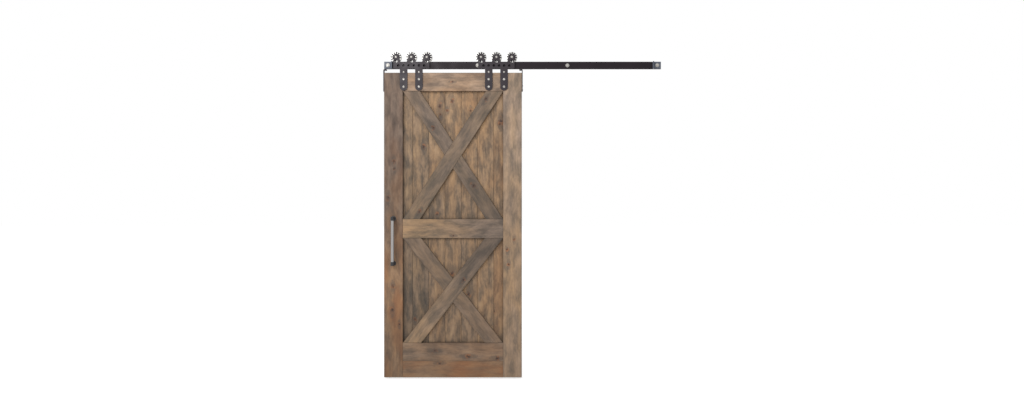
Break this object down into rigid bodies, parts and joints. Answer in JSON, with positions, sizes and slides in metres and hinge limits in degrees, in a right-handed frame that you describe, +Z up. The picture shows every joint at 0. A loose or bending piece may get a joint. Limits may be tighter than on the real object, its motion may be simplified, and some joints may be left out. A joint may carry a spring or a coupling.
{
  "type": "barn door",
  "caption": "Hanging plank door with two X-braced panels, rolling on grooved wheels along a flat wall rail, with perforated strap hangers and a pull handle.",
  "frame": {"origin": "on the wall plane, at the middle of the row of wall bolts that holds the rail", "axes": "+Z up, +X to the right along the rail as seen from the room, +Y into the wall; the door's face looks along -Y"},
  "size_m": [1.9485, 0.187, 2.281],
  "materials": {
    "frame_boards": "knotty pine, grey-brown stain, matt",
    "planks": "knotty pine planks, golden brown stain with grey patches, matt",
    "brace_boards": "knotty pine, darker grey-brown stain, matt",
    "black_steel": "charcoal powder coat, satin",
    "bright_wheels": "turned and zinc plated",
    "zinc_fasteners": "zinc plated",
    "bronze_bushes": "sintered bronze",
    "satin_tube": "satin brushed",
    "handle_castings": "cast, dark enamel"
  },
  "bodies": {
    "track": {"track_rail": "black_steel", "end_stop_left": "black_steel", "end_stop_right": "black_steel", "rail_spacers": "black_steel", "lag_bolts": "zinc_fasteners", "lag_washers": "zinc_fasteners"},
    "door": {"left_stile": "frame_boards", "right_stile": "frame_boards", "top_rail": "frame_boards", "middle_rail": "frame_boards", "bottom_rail_upper": "frame_boards", "bottom_rail_lower": "frame_boards", "plank_1": "planks", "plank_2": "planks", "plank_3": "planks", "plank_4": "planks", "plank_5": "planks", "plank_6": "planks", "plank_7": "planks", "upper_brace_whole": "brace_boards", "upper_brace_top_half": "brace_boards", "upper_brace_bottom_half": "brace_boards", "lower_brace_whole": "brace_boards", "lower_brace_top_half": "brace_boards", "lower_brace_bottom_half": "brace_boards", "hanger_plate_left": "black_steel", "hanger_plate_right": "black_steel", "plate_rivets": "zinc_fasteners", "strap_bolts": "zinc_fasteners", "strap_nuts": "zinc_fasteners", "axle_bolts": "zinc_fasteners", "axle_bushes": "bronze_bushes", "axle_nuts": "zinc_fasteners", "handle_bar": "satin_tube", "handle_post_upper": "handle_castings", "handle_post_lower": "handle_castings", "handle_screws": "zinc_fasteners", "anti_jump_bracket_left": "black_steel", "anti_jump_bracket_right": "black_steel", "bracket_screws": "zinc_fasteners"},
    "wheel_set_1": {"wheel_1": "bright_wheels", "toothed_disc_1": "black_steel"},
    "wheel_set_2": {"wheel_2": "bright_wheels", "toothed_disc_2": "black_steel"},
    "wheel_set_3": {"wheel_3": "bright_wheels", "toothed_disc_3": "black_steel"},
    "wheel_set_4": {"wheel_4": "bright_wheels", "toothed_disc_4": "black_steel"},
    "wheel_set_5": {"wheel_5": "bright_wheels", "toothed_disc_5": "black_steel"},
    "wheel_set_6": {"wheel_6": "bright_wheels", "toothed_disc_6": "black_steel"}
  },
  "joints": [
    {"name": "door_slide", "type": "slide", "parent": "track", "child": "door", "axis": [1, 0, 0], "range_m": [-0.002, 0.962]},
    {"name": "wheel_spin_1", "type": "hinge", "parent": "door", "child": "wheel_set_1", "pos_m": [-0.8865, -0.04175, 0.056], "axis": [0, 1, 0], "continuous": true},
    {"name": "wheel_spin_2", "type": "hinge", "parent": "door", "child": "wheel_set_2", "pos_m": [-0.7785, -0.04175, 0.056], "axis": [0, 1, 0], "continuous": true},
    {"name": "wheel_spin_3", "type": "hinge", "parent": "door", "child": "wheel_set_3", "pos_m": [-0.6705, -0.04175, 0.056], "axis": [0, 1, 0], "continuous": true},
    {"name": "wheel_spin_4", "type": "hinge", "parent": "door", "child": "wheel_set_4", "pos_m": [-0.291, -0.04175, 0.056], "axis": [0, 1, 0], "continuous": true},
    {"name": "wheel_spin_5", "type": "hinge", "parent": "door", "child": "wheel_set_5", "pos_m": [-0.183, -0.04175, 0.056], "axis": [0, 1, 0], "continuous": true},
    {"name": "wheel_spin_6", "type": "hinge", "parent": "door", "child": "wheel_set_6", "pos_m": [-0.075, -0.04175, 0.056], "axis": [0, 1, 0], "continuous": true}
  ],
  "couplings": [
    {"joint": "wheel_spin_1", "follows": "door_slide", "rad_per_m": 33.333},
    {"joint": "wheel_spin_2", "follows": "door_slide", "rad_per_m": 33.333},
    {"joint": "wheel_spin_3", "follows": "door_slide", "rad_per_m": 33.333},
    {"joint": "wheel_spin_4", "follows": "door_slide", "rad_per_m": 33.333},
    {"joint": "wheel_spin_5", "follows": "door_slide", "rad_per_m": 33.333},
    {"joint": "wheel_spin_6", "follows": "door_slide", "rad_per_m": 33.333}
  ]
}
